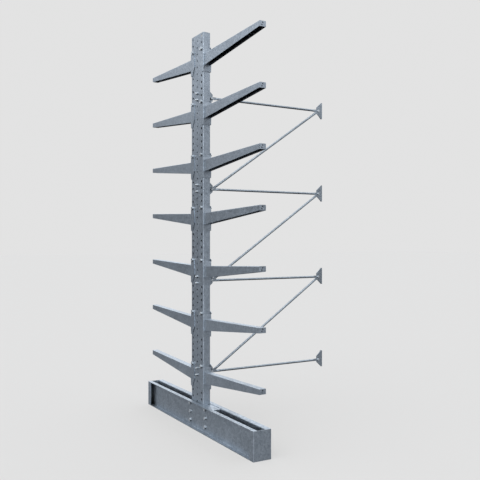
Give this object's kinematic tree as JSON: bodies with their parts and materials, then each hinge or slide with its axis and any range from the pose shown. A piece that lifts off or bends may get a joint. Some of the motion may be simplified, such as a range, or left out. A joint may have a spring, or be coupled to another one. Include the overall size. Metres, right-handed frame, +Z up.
{
  "type": "cantilever rack",
  "caption": "Double-sided cantilever storage rack: a perforated box column on a twin-channel base, tapered upward-sloping arms on both sides and bracing rods to the next column.",
  "frame": {"origin": "on the floor, under the centre of the column", "axes": "+Z up along the column; +X along the base and the arms; +Y along the bracing rods, towards the next column"},
  "size_m": [1.792, 1.206, 3.008],
  "materials": {
    "galvanised_sheet": "satin, spangled zinc",
    "galvanised_bracing": "satin zinc",
    "zinc_fasteners": "bright zinc plate"
  },
  "bodies": {
    "root": {"arm_bolts": "zinc_fasteners", "arm_head_plate_left_1": "galvanised_sheet", "arm_head_plate_left_2": "galvanised_sheet", "arm_head_plate_left_3": "galvanised_sheet", "arm_head_plate_left_4": "galvanised_sheet", "arm_head_plate_left_5": "galvanised_sheet", "arm_head_plate_left_6": "galvanised_sheet", "arm_head_plate_left_7": "galvanised_sheet", "arm_head_plate_right_1": "galvanised_sheet", "arm_head_plate_right_2": "galvanised_sheet", "arm_head_plate_right_3": "galvanised_sheet", "arm_head_plate_right_4": "galvanised_sheet", "arm_head_plate_right_5": "galvanised_sheet", "arm_head_plate_right_6": "galvanised_sheet", "arm_head_plate_right_7": "galvanised_sheet", "arm_left_1": "galvanised_sheet", "arm_left_2": "galvanised_sheet", "arm_left_3": "galvanised_sheet", "arm_left_4": "galvanised_sheet", "arm_left_5": "galvanised_sheet", "arm_left_6": "galvanised_sheet", "arm_left_7": "galvanised_sheet", "arm_nuts": "zinc_fasteners", "arm_right_1": "galvanised_sheet", "arm_right_2": "galvanised_sheet", "arm_right_3": "galvanised_sheet", "arm_right_4": "galvanised_sheet", "arm_right_5": "galvanised_sheet", "arm_right_6": "galvanised_sheet", "arm_right_7": "galvanised_sheet", "base_bolt_sleeves": "galvanised_sheet", "base_bolts": "zinc_fasteners", "base_channel_front": "galvanised_sheet", "base_channel_rear": "galvanised_sheet", "base_end_cap_left": "galvanised_sheet", "base_end_cap_right": "galvanised_sheet", "base_nuts": "zinc_fasteners", "base_spacer": "galvanised_sheet", "brace_bracket_bolts": "zinc_fasteners", "brace_bracket_far_1": "galvanised_bracing", "brace_bracket_far_2": "galvanised_bracing", "brace_bracket_far_3": "galvanised_bracing", "brace_bracket_far_4": "galvanised_bracing", "brace_bracket_near_1": "galvanised_bracing", "brace_bracket_near_2": "galvanised_bracing", "brace_bracket_near_3": "galvanised_bracing", "brace_bracket_near_4": "galvanised_bracing", "brace_bracket_nuts": "zinc_fasteners", "brace_diagonal_1": "galvanised_bracing", "brace_diagonal_2": "galvanised_bracing", "brace_diagonal_3": "galvanised_bracing", "brace_horizontal_1": "galvanised_bracing", "brace_horizontal_2": "galvanised_bracing", "brace_horizontal_3": "galvanised_bracing", "brace_horizontal_4": "galvanised_bracing", "column_foot_plate": "galvanised_sheet", "column_front_channel": "galvanised_sheet", "column_rear_channel": "galvanised_sheet", "rod_bolts": "zinc_fasteners", "rod_nuts": "zinc_fasteners"}
  },
  "joints": []
}
